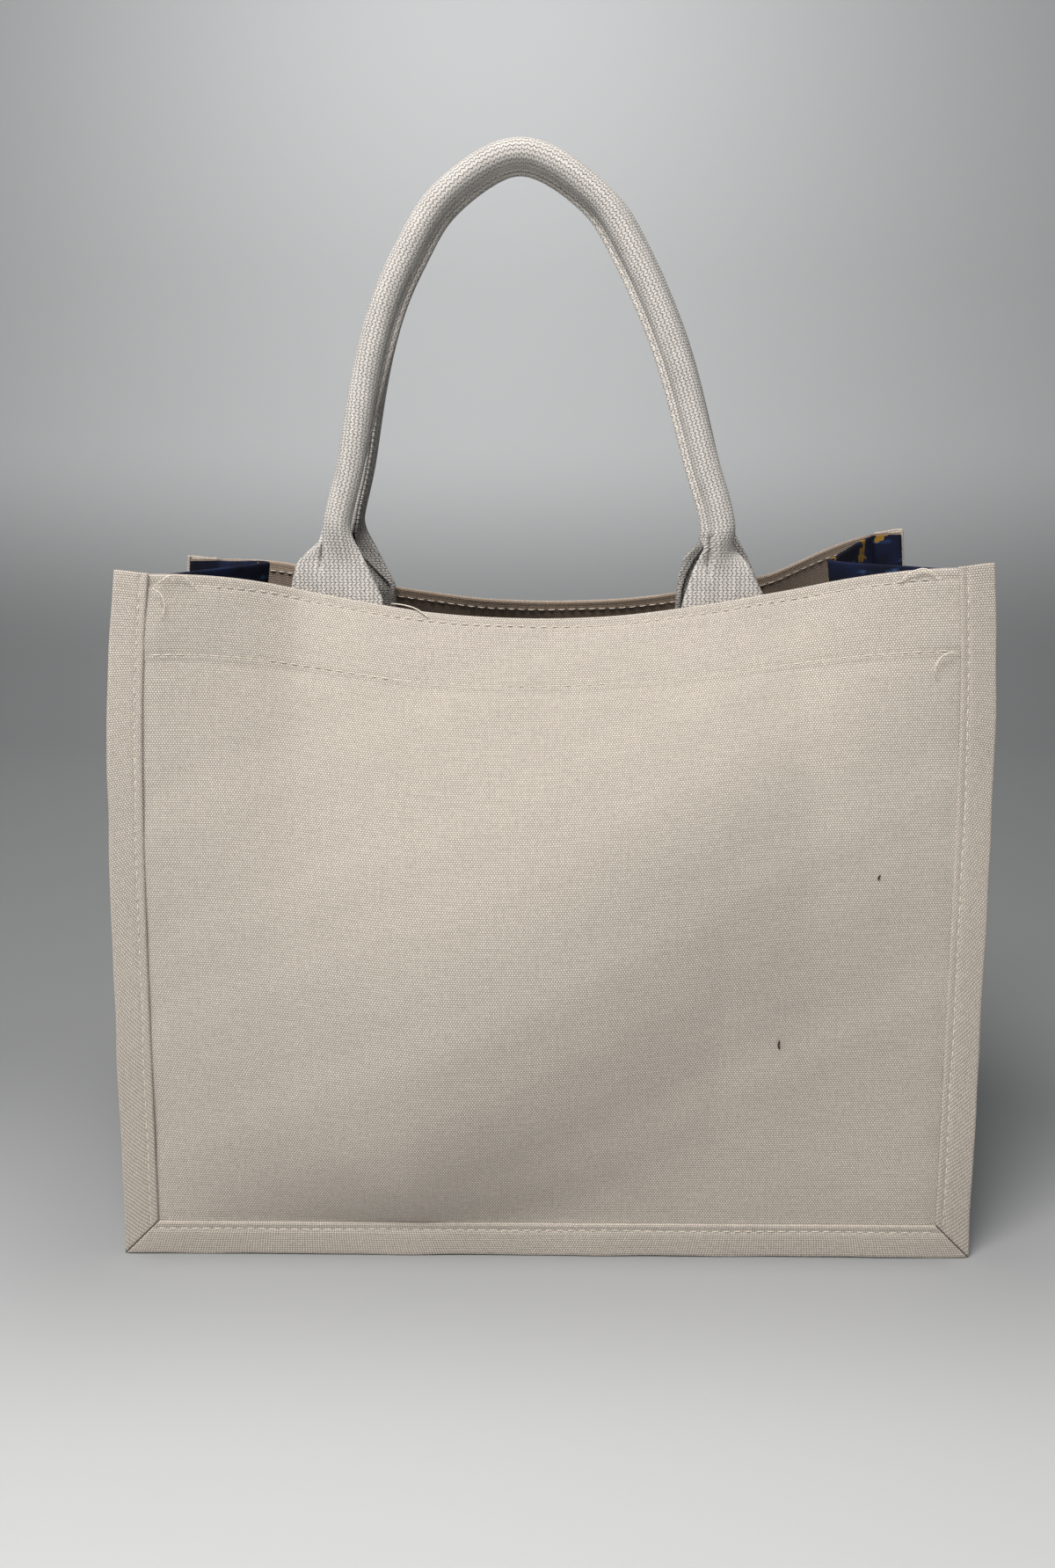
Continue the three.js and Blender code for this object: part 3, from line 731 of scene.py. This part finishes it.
def handle_rings(which):
    """Rings of the whole handle. Each is a strip of webbing whose middle line is a mix of the opened cut and
    the rolled cut, by the height above the hem, with a crease pressed into the front of each foot."""
    path, reach = handle_path(which)
    total = reach[-1]
    tangent = np.gradient(path, axis=0)
    tangent = unit(tangent)
    outward = np.array([0, -1.0, 0]) - tangent * (tangent @ np.array([0, -1.0, 0]))[:, None]
    outward = unit(outward)
    inside = np.cross(tangent, outward)
    height = np.minimum(reach, total - reach) - END_DEPTH
    leg = np.where(reach < total / 2, -1, 1)
    rolled = smooth(height, ROLL_FROM, ROLL_TO)
    share = np.linspace(-1, 1, 121)
    halves, creases = {}, {}
    for side in (-1, 1):
        outer, inner, crease = FEET[(which, side)]
        halves[side] = [np.interp(height / MM, *np.array(FLARES[name]).T) * MM for name in (outer, inner)]
        creases[side] = crease * MM
    twist = smooth(reach / total, 0.16, 0.30) * 45 + smooth(reach / total, 0.5, 0.80) * 18
    twist = twist - 60 * smooth(reach / total, 0.88, 0.94) if which == "front" else 0 * reach
    fin_angle = np.radians(-68 + twist)
    rings = []
    for i in range(len(path)):
        k = rolled[i]
        outer, inner = [np.clip((half[i] - k * ROLLED_HALF) / max(1 - k, 0.02), 11.2 * MM, 24 * MM)
                        for half in halves[leg[i]]]
        cut = flat_web(share * WEB / 2, outer, inner) * (1 - k) + rolled_web(share, fin_angle[i]) * k
        cut[1:-1] = (cut[:-2] + 2 * cut[1:-1] + cut[2:]) / 4
        away = cut[:, 0] - creases[leg[i]]
        window = smooth(height[i], 11 * MM, 20 * MM) * (1 - smooth(height[i], 31 * MM, 35 * MM))
        beyond = smooth(away * np.sign(creases[leg[i]]), 0, 1.2 * MM)
        front = smooth(cut[:, 1], -1.0 * MM, 0.5 * MM)
        groove = CREASE_DEPTH * bell(away, 0, CREASE_WIDTH) + FLAP_BACK * beyond
        cut[:, 1] -= window * front * groove
        along_cut = np.gradient(cut, axis=0)
        along_cut = unit(along_cut)
        across_cut = np.stack([-along_cut[:, 1], along_cut[:, 0]], axis=-1) * WEB_THICK / 2
        loop = np.concatenate([cut + across_cut, (cut - across_cut)[::-1]])
        rings.append(path[i] + loop[:, :1] * inside[i] + loop[:, 1:] * outward[i])
    frames = {"path": path, "reach": reach, "height": height, "fin_angle": fin_angle,
              "outward": outward, "inside": inside}
    return np.array(rings), frames


def handle_seam(which, frames, back):
    """Both sides of the row of stitching that closes the rolled webbing, near the foot of its fin."""
    rolled = frames["height"] > 38 * MM
    angle = frames["fin_angle"][:, None]
    fin = frames["inside"] * np.cos(angle) + frames["outward"] * np.sin(angle)
    across_fin = frames["outward"] * np.cos(angle) - frames["inside"] * np.sin(angle)
    rows = []
    for sign in (1, -1):
        surface = LIP + WEB_THICK / 2 + 0.1 * MM
        seam = (frames["path"] + fin * SEAM_OUT + sign * across_fin * surface)[rolled]
        lift = (sign * across_fin)[rolled]
        stretch = along(seam)
        marks = np.arange(0, stretch[-1] - STITCH, STITCH)
        starts, ends, out = [np.stack([np.interp(at, stretch, c) for c in values.T], axis=-1)
                             for values, at in ((seam, marks), (seam, marks + 0.72 * STITCH), (lift, marks))]
        rows.append((starts, ends, unit(out)))
    starts, ends, out = (turned(part, back) for part in joined_rows(rows))
    stitches(f"{which}_handle_stitches", starts, ends, out, f"{which}_handle", [f"{which}_handle_stitching"])


def handle(which):
    back = which == "back"
    rings, frames = handle_rings(which)
    around = rings.shape[1]
    share = np.linspace(-1, 1, around // 2)
    across = np.concatenate([share, share[::-1], share[:1]]) * WEB / 2
    uv = spread(across[None, :], frames["reach"][:, None])
    piece = loft(f"{which}_padded_handle", turned(rings, back), uv, "webbing", body=None)
    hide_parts(f"{which}_handle_sleeve", f"{which}_handle_filler",
                *[f"{which}_handle_{side}_{part}" for side in ("left", "right") for part in ("foot", "end")])
    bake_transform(piece)
    handle_seam(which, frames, back)


# ---- Materials ----


class Nodes:
    """Short calls for building a node tree."""

    def __init__(self, tree):
        self.tree = tree

    def add(self, kind, **settings):
        node = self.tree.nodes.new(kind)
        inputs = settings.pop("inputs", {})
        for key, value in settings.items():
            setattr(node, key, value)
        for key, value in inputs.items():
            self.put(node.inputs[key], value)
        return node

    def put(self, socket, value):
        if isinstance(value, bpy.types.NodeSocket):
            self.tree.links.new(value, socket)
        elif value is not None:
            socket.default_value = value

    def math(self, operation, *values, clamp=False):
        node = self.add("ShaderNodeMath", operation=operation, use_clamp=clamp)
        for socket, value in zip(node.inputs, values):
            self.put(socket, value)
        return node.outputs[0]

    def times(self, a, b):
        return self.math("MULTIPLY", a, b)

    def plus(self, a, b):
        return self.math("ADD", a, b)

    def minus(self, a, b):
        return self.math("SUBTRACT", a, b)

    def over(self, a, b):
        return self.math("DIVIDE", a, b)

    def ramp(self, value, low, high, to_low=0.0, to_high=1.0, kind="LINEAR"):
        node = self.add("ShaderNodeMapRange", clamp=True, interpolation_type=kind, inputs={
            "Value": value, "From Min": low, "From Max": high, "To Min": to_low, "To Max": to_high})
        return node.outputs[0]

    def noise(self, vector, scale, detail=2.0, rough=0.5):
        node = self.add("ShaderNodeTexNoise", inputs={
            "Vector": vector, "Scale": scale, "Detail": detail, "Roughness": rough})
        return node.outputs["Fac"]

    def mix(self, factor, a, b, blend="MIX"):
        node = self.add("ShaderNodeMix", data_type="RGBA", blend_type=blend)
        for key, value in ((0, factor), (6, a), (7, b)):
            self.put(node.inputs[key], value)
        return node.outputs[2]

    def vector(self, x, y, z=0.0):
        return self.add("ShaderNodeCombineXYZ", inputs={"X": x, "Y": y, "Z": z}).outputs[0]


def new_group(name, inputs, outputs):
    """A shader node group with float inputs and outputs: returns its nodes, its input sockets and its
    output node."""
    tree = bpy.data.node_groups.new(name, "ShaderNodeTree")
    for label, value in inputs:
        tree.interface.new_socket(label, in_out="INPUT", socket_type="NodeSocketFloat").default_value = value
    for label in outputs:
        tree.interface.new_socket(label, in_out="OUTPUT", socket_type="NodeSocketFloat")
    n = Nodes(tree)
    start = n.add("NodeGroupInput")
    end = n.add("NodeGroupOutput")
    return tree, n, start.outputs, end.inputs


def plain_weave_group():
    """Two sets of yarns that cross over and under. The product of two sines is positive where an upright
    yarn is on top and negative where a level one is. Each yarn has its own tone, and all of them wander."""
    tree, n, given, out = new_group(
        "plain_weave",
        [("Across", 0.0), ("Along", 0.0), ("Upright Pitch", 0.00064), ("Level Pitch", 0.00107),
         ("Wander", 0.0008)],
        ["Height", "Crown", "Tone"])
    here = n.vector(given["Across"], given["Along"])
    shift = n.minus(n.noise(here, 140, 2), 0.5)
    across = n.over(n.plus(given["Across"], n.times(shift, given["Wander"])),
                    given["Upright Pitch"])
    shift_up = n.minus(n.noise(n.vector(given["Along"], given["Across"], 3.0), 140, 2), 0.5)
    along_ = n.over(n.plus(given["Along"], n.times(shift_up, given["Wander"])),
                    given["Level Pitch"])
    wave = n.times(n.math("SINE", n.times(across, math.pi)),
                  n.math("SINE", n.times(along_, math.pi)))
    crown = n.math("MAXIMUM", wave, 0.0)
    level = n.math("MAXIMUM", n.times(wave, -1.0), 0.0)
    upright_place = n.vector(n.math("FLOOR", across), n.times(given["Along"], 80.0))
    level_place = n.vector(n.math("FLOOR", along_), n.times(given["Across"], 80.0), 7.0)
    upright_tone = n.noise(upright_place, 0.9, 1)
    level_tone = n.noise(level_place, 0.9, 1)
    tone = n.times(n.plus(upright_tone, level_tone), 0.5)
    over = n.math("POWER", crown, 0.6)
    under = n.times(n.math("POWER", level, 0.6), 0.5)
    n.put(out["Height"], n.plus(over, under))
    n.put(out["Crown"], n.math("POWER", crown, 0.8))
    n.put(out["Tone"], tone)
    return tree


def herringbone_group():
    """Zigzag ribs that run along the webbing: the distance across is shifted by a triangle wave of the
    distance along, and each rib is broken into ticks by the yarns that cross it."""
    tree, n, given, out = new_group(
        "herringbone",
        [("Across", 0.0), ("Along", 0.0), ("Rib Pitch", 0.0021), ("Zigzag", 0.0027), ("Swing", 0.0011)],
        ["Height", "Rib", "Tone"])
    here = n.vector(given["Across"], given["Along"])
    shift = n.times(n.minus(n.noise(here, 260, 2), 0.5), 0.0009)
    half = n.times(given["Zigzag"], 0.5)
    zigzag = n.math("PINGPONG", n.plus(given["Along"], shift), half)
    sway = n.times(n.over(zigzag, half), given["Swing"])
    across = n.over(n.plus(n.plus(given["Across"], sway), shift), given["Rib Pitch"])
    line = n.math("PINGPONG", across, 0.5)
    rough = n.ramp(n.noise(here, 900, 2), 0.35, 0.65, 0.0, 0.09)
    rib = n.ramp(n.plus(line, rough), 0.05, 0.22)
    turns = n.over(n.times(given["Along"], math.pi), half)
    tick = n.math("ABSOLUTE", n.math("SINE", turns))
    tone = n.noise(n.vector(n.math("FLOOR", across), n.times(given["Along"], 60.0)), 0.8, 1)
    grain = n.math("POWER", tick, 0.5)
    n.put(out["Height"], n.times(rib, n.math("MULTIPLY_ADD", grain, 0.5, 0.5)))
    n.put(out["Rib"], n.times(rib, n.math("MULTIPLY_ADD", grain, 0.32, 0.68)))
    n.put(out["Tone"], tone)
    return tree


WEAVE = plain_weave_group()
HERRINGBONE = herringbone_group()


def cloth_material(name, sheen=0.25):
    """A new fabric material: returns its nodes, its shader, and the UV map's two distances."""
    material = bpy.data.materials.new(name)
    material.use_nodes = True
    n = Nodes(material.node_tree)
    shader = material.node_tree.nodes["Principled BSDF"]
    shader.inputs["Specular IOR Level"].default_value = 0.25
    shader.inputs["Sheen Weight"].default_value = sheen
    shader.inputs["Sheen Roughness"].default_value = 0.5
    uv = n.add("ShaderNodeUVMap", uv_map="cloth").outputs[0]
    parts = n.add("ShaderNodeSeparateXYZ", inputs={0: uv}).outputs
    material_of[name] = material
    return n, shader, uv, parts["X"], parts["Y"]


def group_node(n, tree, **inputs):
    node = n.add("ShaderNodeGroup", node_tree=tree)
    for key, value in inputs.items():
        n.put(node.inputs[key.replace("_", " ")], value)
    return node.outputs


def canvas_material(name, tint=(1.0, 1.0, 1.0)):
    """Natural undyed canvas: light yarn crowns over darker gaps, uneven yarns, slow staining, a few dark
    flecks of seed husk, and fine lint in its surface. Past the top fold its colour is darkened, which stands
    in for the shade inside the bag: real canvas is the same on both sides."""
    n, shader, uv, across, up = cloth_material(name)
    weave = group_node(n, WEAVE, Across=across, Along=up)
    gap = [c * t for c, t in zip((0.31, 0.262, 0.21), tint)] + [1]
    yarn = [c * t for c, t in zip((0.78, 0.695, 0.60), tint)] + [1]
    cloth = n.mix(n.ramp(weave["Height"], 0.0, 0.8), gap, yarn)
    bright = n.mix(n.ramp(weave["Crown"], 0.3, 0.95, 0.0, 0.95), cloth, (1.0, 0.955, 0.895, 1))
    tone = n.ramp(weave["Tone"], 0.3, 0.7, 0.93, 1.04)
    place = n.add("ShaderNodeTexCoord").outputs["Object"]
    stain = n.ramp(n.noise(place, 9, 3), 0.3, 0.7, 0.95, 1.03)
    speckle = n.ramp(n.noise(uv, 520, 2), 0.3, 0.7, 0.9, 1.07)
    shade = n.times(n.times(tone, stain), speckle)
    toned = n.mix(1.0, bright, n.vector(shade, shade, shade), "MULTIPLY")
    inside = n.ramp(up, HEIGHT + 0.8 * MM, HEIGHT + 3.2 * MM)
    toned = n.mix(inside, toned, n.mix(1.0, toned, (0.62, 0.52, 0.45, 1), "MULTIPLY"))
    husk = n.add("ShaderNodeTexVoronoi", inputs={"Vector": uv, "Scale": 62.0})
    small = n.math("LESS_THAN", husk.outputs["Distance"], 0.022)
    cell = n.add("ShaderNodeSeparateColor", inputs={0: husk.outputs["Color"]}).outputs
    rare = n.math("GREATER_THAN", cell[0], 0.62)
    flecked = n.mix(n.times(n.times(small, rare), 0.5), toned, (0.16, 0.12, 0.09, 1))
    n.put(shader.inputs["Base Color"], flecked)
    n.put(shader.inputs["Roughness"], n.ramp(weave["Height"], 0, 1, 0.97, 0.86))
    lint = n.times(n.noise(place, 2600, 2), 0.35)
    bump = n.add("ShaderNodeBump", inputs={
        "Strength": 0.75, "Distance": 0.00032, "Height": n.plus(weave["Height"], lint)})
    n.put(shader.inputs["Normal"], bump.outputs[0])


def print_material():
    """Navy cotton canvas with a soft print: clouds of lighter blue, streaky brush marks and scattered dabs
    of ochre and cream, over the same plain weave. The navy is darker than the cloth's own: part of its
    darkness is painted shade for the inside of the bag."""
    n, shader, uv, across, up = cloth_material("print", sheen=0.0)
    weave = group_node(n, WEAVE, Across=across, Along=up, Upright_Pitch=0.0006, Level_Pitch=0.0009)
    clouds = n.noise(uv, 16, 4, 0.6)
    # The navy ground is partly the print's own colour and partly painted shade for the inside of the bag.
    base = n.mix(n.ramp(clouds, 0.42, 0.66), (0.004, 0.005, 0.014, 1), (0.012, 0.024, 0.085, 1))
    streaks = n.noise(n.vector(n.times(across, 40), n.times(up, 160)), 1.0, 4, 0.6)
    blue = n.mix(n.ramp(streaks, 0.60, 0.72), base, (0.05, 0.11, 0.27, 1))
    dabs = n.add("ShaderNodeTexVoronoi", inputs={"Vector": uv, "Scale": 34.0, "Randomness": 1.0})
    edge = n.plus(dabs.outputs["Distance"], n.times(n.noise(uv, 130, 4), 0.9))
    chosen = n.add("ShaderNodeSeparateColor", inputs={0: dabs.outputs["Color"]}).outputs
    ochre_here = n.times(n.math("LESS_THAN", edge, 0.72), n.math("GREATER_THAN", chosen[0], 0.6))
    ochre = n.mix(ochre_here, blue, (0.42, 0.23, 0.035, 1))
    cream_here = n.times(n.math("LESS_THAN", edge, 0.6), n.math("GREATER_THAN", chosen[1], 0.86))
    cream = n.mix(cream_here, ochre, (0.52, 0.46, 0.33, 1))
    dark = n.ramp(weave["Height"], 0, 0.9, 0.55, 1.1)
    n.put(shader.inputs["Base Color"], n.mix(1.0, cream, n.vector(dark, dark, dark), "MULTIPLY"))
    shader.inputs["Roughness"].default_value = 0.9
    bump = n.add("ShaderNodeBump", inputs={"Strength": 0.6, "Distance": 0.0003, "Height": weave["Height"]})
    n.put(shader.inputs["Normal"], bump.outputs[0])


def webbing_material():
    """Off-white cotton webbing: raised zigzag ribs with grey gaps, uneven yarns and lint."""
    n, shader, _, across, up = cloth_material("webbing", sheen=0.3)
    ribs = group_node(n, HERRINGBONE, Across=across, Along=up)
    cloth = n.mix(ribs["Rib"], (0.27, 0.241, 0.218, 1), (0.68, 0.644, 0.603, 1))
    place = n.add("ShaderNodeTexCoord").outputs["Object"]
    slow = n.ramp(n.noise(place, 30, 3), 0.3, 0.7, 0.93, 1.03)
    tone = n.times(n.ramp(ribs["Tone"], 0.3, 0.7, 0.88, 1.05), slow)
    n.put(shader.inputs["Base Color"], n.mix(1.0, cloth, n.vector(tone, tone, tone), "MULTIPLY"))
    n.put(shader.inputs["Roughness"], n.ramp(ribs["Height"], 0, 1, 0.98, 0.85))
    lint = n.times(n.noise(place, 2200, 2), 0.35)
    bump = n.add("ShaderNodeBump", inputs={
        "Strength": 0.85, "Distance": 0.0006, "Height": n.plus(ribs["Height"], lint)})
    n.put(shader.inputs["Normal"], bump.outputs[0])


def thread_material():
    """Sewing thread: twisted plies as slanting ridges along each stitch."""
    n, shader, _, across, up = cloth_material("thread", sheen=0.1)
    slant = n.plus(n.times(across, 4200.0), n.times(up, 9000.0))
    ply = n.math("MULTIPLY_ADD", n.math("SINE", slant), 0.5, 0.5)
    n.put(shader.inputs["Base Color"], n.mix(ply, (0.70, 0.62, 0.52, 1), (0.95, 0.88, 0.77, 1)))
    shader.inputs["Roughness"].default_value = 0.75
    bump = n.add("ShaderNodeBump", inputs={"Strength": 0.5, "Distance": 0.0001, "Height": ply})
    n.put(shader.inputs["Normal"], bump.outputs[0])


def husk_material():
    """Dark brown seed husk."""
    shader = cloth_material("husk")[1]
    shader.inputs["Base Color"].default_value = (0.045, 0.03, 0.02, 1)
    shader.inputs["Roughness"].default_value = 0.8


# ---- Camera, floor and light ----


def make_camera():
    """Slightly above the bag and looking a little down, with a wide lens."""
    camera = bpy.data.cameras.new("camera")
    camera.lens, camera.sensor_width = 30.3, 36.0
    eye = bpy.data.objects.new("camera", camera)
    pitch, yaw = math.radians(14.1), math.radians(0.6)
    turn = Matrix.Rotation(yaw, 4, "Z") @ Matrix.Rotation(math.pi / 2 - pitch, 4, "X")
    eye.matrix_world = Matrix.Translation((-0.003, -0.678, 0.388)) @ turn
    bpy.context.scene.collection.objects.link(eye)
    bpy.context.scene.camera = eye


def sweep_paint():
    """Pale matt paint, greyer behind the bag's foot and lighter again up the wall, with a soft dark rim round
    the bag's base. The rim and the grey are painted: they stand in for shadows and don't follow the lamps."""
    paint = bpy.data.materials.new("pale_paint")
    paint.use_nodes = True
    n = Nodes(paint.node_tree)
    place = n.add("ShaderNodeTexCoord").outputs["Object"]
    x, y, z = n.add("ShaderNodeSeparateXYZ", inputs={0: place}).outputs
    floor = n.ramp(y, -0.36, 0.16, 1.0, 0.44, "SMOOTHSTEP")
    wall = n.ramp(z, 0.06, 0.42, 0.44, 1.0, "SMOOTHSTEP")
    beside_x = n.math("MAXIMUM", n.minus(n.math("ABSOLUTE", x), 0.19), 0.0)
    beside_y = n.math("MAXIMUM", n.minus(n.math("ABSOLUTE", y), 0.09), 0.0)
    away = n.math("SQRT", n.plus(n.math("POWER", beside_x, 2.0), n.math("POWER", beside_y, 2.0)))
    close = n.ramp(away, 0.0, 0.025, 0.76, 1.0, "SMOOTHSTEP")
    wide = n.ramp(away, 0.0, 0.15, 0.82, 1.0, "SMOOTHSTEP")
    rim = n.times(close, wide)
    shade = n.times(n.math("MAXIMUM", floor, wall), rim)
    shader = paint.node_tree.nodes["Principled BSDF"]
    shaded = n.mix(1.0, (0.66, 0.67, 0.675, 1), n.vector(shade, shade, shade), "MULTIPLY")
    n.put(shader.inputs["Base Color"], shaded)
    shader.inputs["Roughness"].default_value = 0.8
    return paint


def make_room():
    """A pale sweep: a floor that curves up into a wall behind the bag."""
    turn = np.linspace(0, np.pi / 2, 24)
    bend, back = 0.7, 1.1
    side = np.concatenate([
        [[-4.0, 0.0], [-1.0, 0.0], [0.0, 0.0]],
        np.stack([back + bend * np.sin(turn), bend * (1 - np.cos(turn))], axis=-1),
        [[back + bend, 5.0]],
    ])
    x = np.linspace(-5, 5, 12)[:, None]
    points = spread(x, side[None, :, 0], side[None, :, 1])
    rows, columns = points.shape[:2]
    i, j = np.meshgrid(np.arange(rows - 1), np.arange(columns - 1), indexing="ij")
    low, high = i * columns + j, (i + 1) * columns + j
    quads = np.stack([low, high, high + 1, low + 1], -1)
    mesh = bpy.data.meshes.new("sweep")
    mesh.from_pydata(points.reshape(-1, 3).tolist(), [], quads.reshape(-1, 4).tolist())
    mesh.polygons.foreach_set("use_smooth", np.ones(len(mesh.polygons), dtype=bool))
    mesh.materials.append(sweep_paint())
    sweep = bpy.data.objects.new("sweep", mesh)
    bpy.context.scene.collection.objects.link(sweep)


def softbox(name, place, aim, width, height, power, colour=(1, 1, 1)):
    lamp = bpy.data.lights.new(name, "AREA")
    lamp.shape, lamp.size, lamp.size_y = "RECTANGLE", width, height
    lamp.energy, lamp.color = power, colour
    box = bpy.data.objects.new(name, lamp)
    bpy.context.scene.collection.objects.link(box)
    direction = Vector(aim) - Vector(place)
    box.matrix_world = Matrix.Translation(place) @ direction.to_track_quat("-Z", "Y").to_matrix().to_4x4()


def make_light():
    softbox("overhead_softbox", (-0.28, -0.68, 1.46), (0, -0.08, 0.2), 0.8, 0.45, 24.5, (1.0, 0.985, 0.965))
    softbox("front_fill", (-0.7, -1.9, 0.7), (0, 0, 0.3), 1.0, 1.0, 3.2)
    softbox("wall_wash", (-0.1, 0.9, 1.3), (-0.1, 1.8, 0.6), 0.8, 0.5, 6.0)
    world = bpy.data.worlds.new("studio")
    world.use_nodes = True
    world.node_tree.nodes["Background"].inputs["Color"].default_value = (0.9, 0.95, 1.0, 1)
    world.node_tree.nodes["Background"].inputs["Strength"].default_value = 0.12
    bpy.context.scene.world = world
    bpy.context.scene.view_settings.view_transform = "Standard"


# ---- Assembly ----


def main():
    make_camera()
    canvas_material("canvas")
    canvas_material("canvas_edge", (0.97, 0.955, 0.95))
    print_material()
    webbing_material()
    thread_material()
    husk_material()
    for which in ("front", "back"):
        back = which == "back"
        panel = face_panel(which, back)
        strips = [side_strip(which, -1, back), side_strip(which, 1, back), bottom_strip(which, back)]
        face_stitching(which, back)
        handle(which)
    for hand, back in (("left", False), ("right", True)):
        side = gusset(hand, back)
    loose_ends()
    base = base_sheet()
    make_room()
    make_light()


main()
